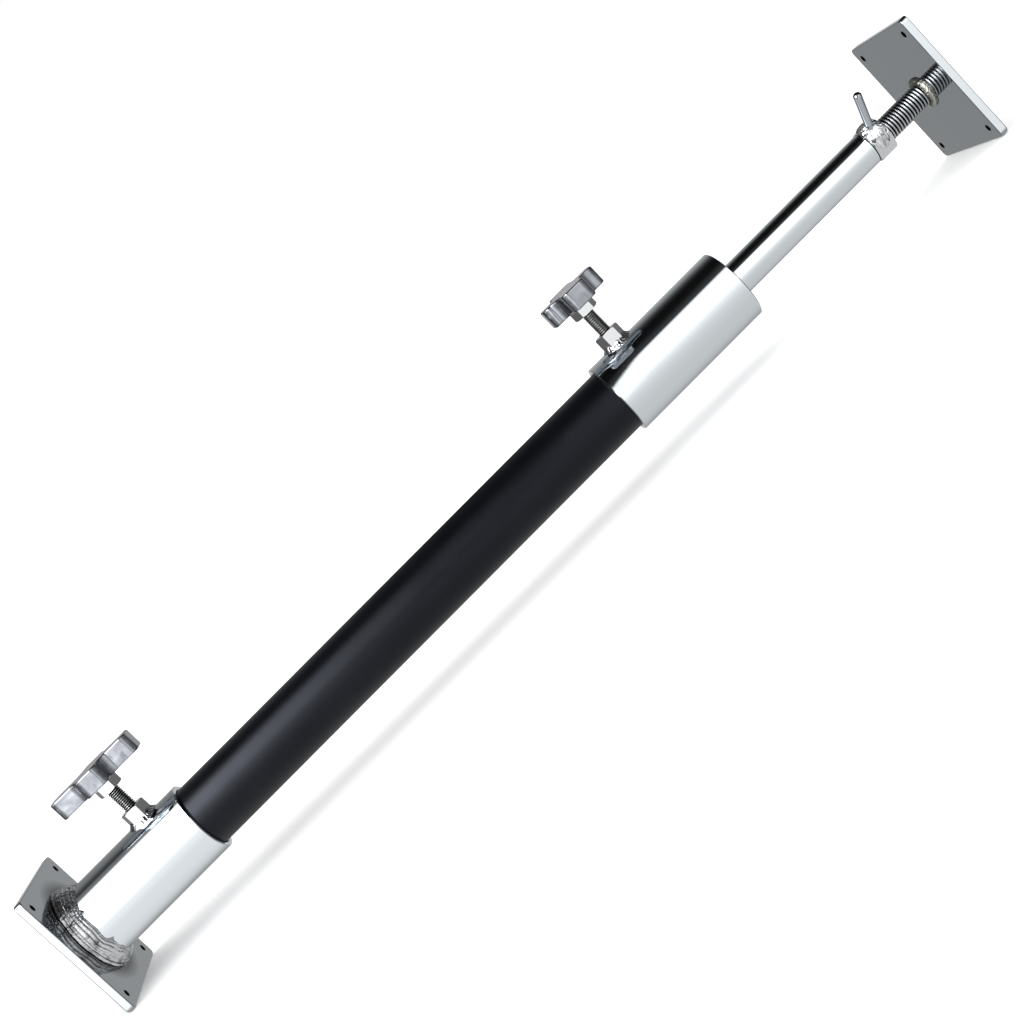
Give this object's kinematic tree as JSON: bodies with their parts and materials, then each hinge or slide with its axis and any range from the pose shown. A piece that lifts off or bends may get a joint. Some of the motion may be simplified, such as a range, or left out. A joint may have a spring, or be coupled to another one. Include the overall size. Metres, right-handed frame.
{
  "type": "pull up bar",
  "caption": "Telescoping pull up bar with square wall plates, a coated grip bar in two chrome sleeves with knob clamps, and a lever nut that jacks a threaded rod against the wall.",
  "frame": {"origin": "centre of the base plate's wall face, on the bar's axis", "axes": "+X along the bar from the base plate to the end plate, +Z towards the side of the two clamp knobs, +Y completes a right-handed frame"},
  "size_m": [0.8211, 0.103, 0.1301],
  "materials": {
    "plate_chrome": "polished chrome plate on flat steel",
    "tube_chrome": "mirror polished chrome plate on steel tube",
    "nut_chrome": "bright chrome plate on hexagon and round steel",
    "weld_bead": "rippled weld bead under bright plating",
    "screw_steel": "bright zinc plated screw thread",
    "pad_brass": "turned brass",
    "knob_alloy": "polished cast alloy",
    "grip_coating": "satin black powder coating",
    "bush_steel": "turned steel"
  },
  "bodies": {
    "base": {"base_plate": "plate_chrome", "wall_socket": "tube_chrome", "socket_weld": "weld_bead", "socket_boss_nut": "nut_chrome", "socket_boss_weld": "weld_bead"},
    "grip": {"grip_bar": "grip_coating"},
    "socket_pad": {"socket_pressure_pad": "pad_brass"},
    "socket_knob": {"socket_clamp_screw": "screw_steel", "socket_lock_nut": "nut_chrome", "socket_clamp_knob": "knob_alloy"},
    "sleeve": {"reducer_sleeve": "tube_chrome", "reducer_bush": "bush_steel", "thin_tube": "tube_chrome", "thin_tube_weld": "weld_bead", "sleeve_boss_nut": "nut_chrome", "sleeve_boss_weld": "weld_bead"},
    "sleeve_pad": {"sleeve_pressure_pad": "pad_brass"},
    "sleeve_knob": {"sleeve_clamp_screw": "screw_steel", "sleeve_lock_nut": "nut_chrome", "sleeve_clamp_knob": "knob_alloy"},
    "lever_nut": {"adjusting_nut": "nut_chrome", "nut_lever": "nut_chrome", "lever_weld": "weld_bead"},
    "jack": {"threaded_rod": "screw_steel", "rod_weld": "weld_bead", "end_plate": "plate_chrome"}
  },
  "joints": [
    {"name": "grip_slide", "type": "slide", "parent": "base", "child": "grip", "axis": [1, 0, 0], "range_m": [-0.036, 0.03]},
    {"name": "sleeve_slide", "type": "slide", "parent": "grip", "child": "sleeve", "axis": [1, 0, 0], "range_m": [-0.03, 0.02]},
    {"name": "socket_pad_slide", "type": "slide", "parent": "base", "child": "socket_pad", "axis": [0, 0, 1], "range_m": [0, 0.006]},
    {"name": "socket_knob_turn", "type": "hinge", "parent": "socket_pad", "child": "socket_knob", "pos_m": [0.086, 0, 0.05], "axis": [0, 0, 1], "range_deg": [0, 1438]},
    {"name": "sleeve_pad_slide", "type": "slide", "parent": "sleeve", "child": "sleeve_pad", "axis": [0, 0, 1], "range_m": [0, 0.006]},
    {"name": "sleeve_knob_turn", "type": "hinge", "parent": "sleeve_pad", "child": "sleeve_knob", "pos_m": [0.543, 0, 0.05], "axis": [0, 0, 1], "range_deg": [0, 1438]},
    {"name": "nut_turn", "type": "hinge", "parent": "sleeve", "child": "lever_nut", "pos_m": [0.7678, 0, 0], "axis": [-1, 0, 0], "range_deg": [-4898, 14402]},
    {"name": "jack_slide", "type": "slide", "parent": "sleeve", "child": "jack", "axis": [1, 0, 0], "range_m": [-0.034, 0.1]}
  ],
  "couplings": [
    {"joint": "socket_pad_slide", "follows": "socket_knob_turn", "m_per_rad": 0.00023873},
    {"joint": "sleeve_pad_slide", "follows": "sleeve_knob_turn", "m_per_rad": 0.00023873},
    {"joint": "nut_turn", "follows": "jack_slide", "rad_per_m": 2513.3}
  ]
}
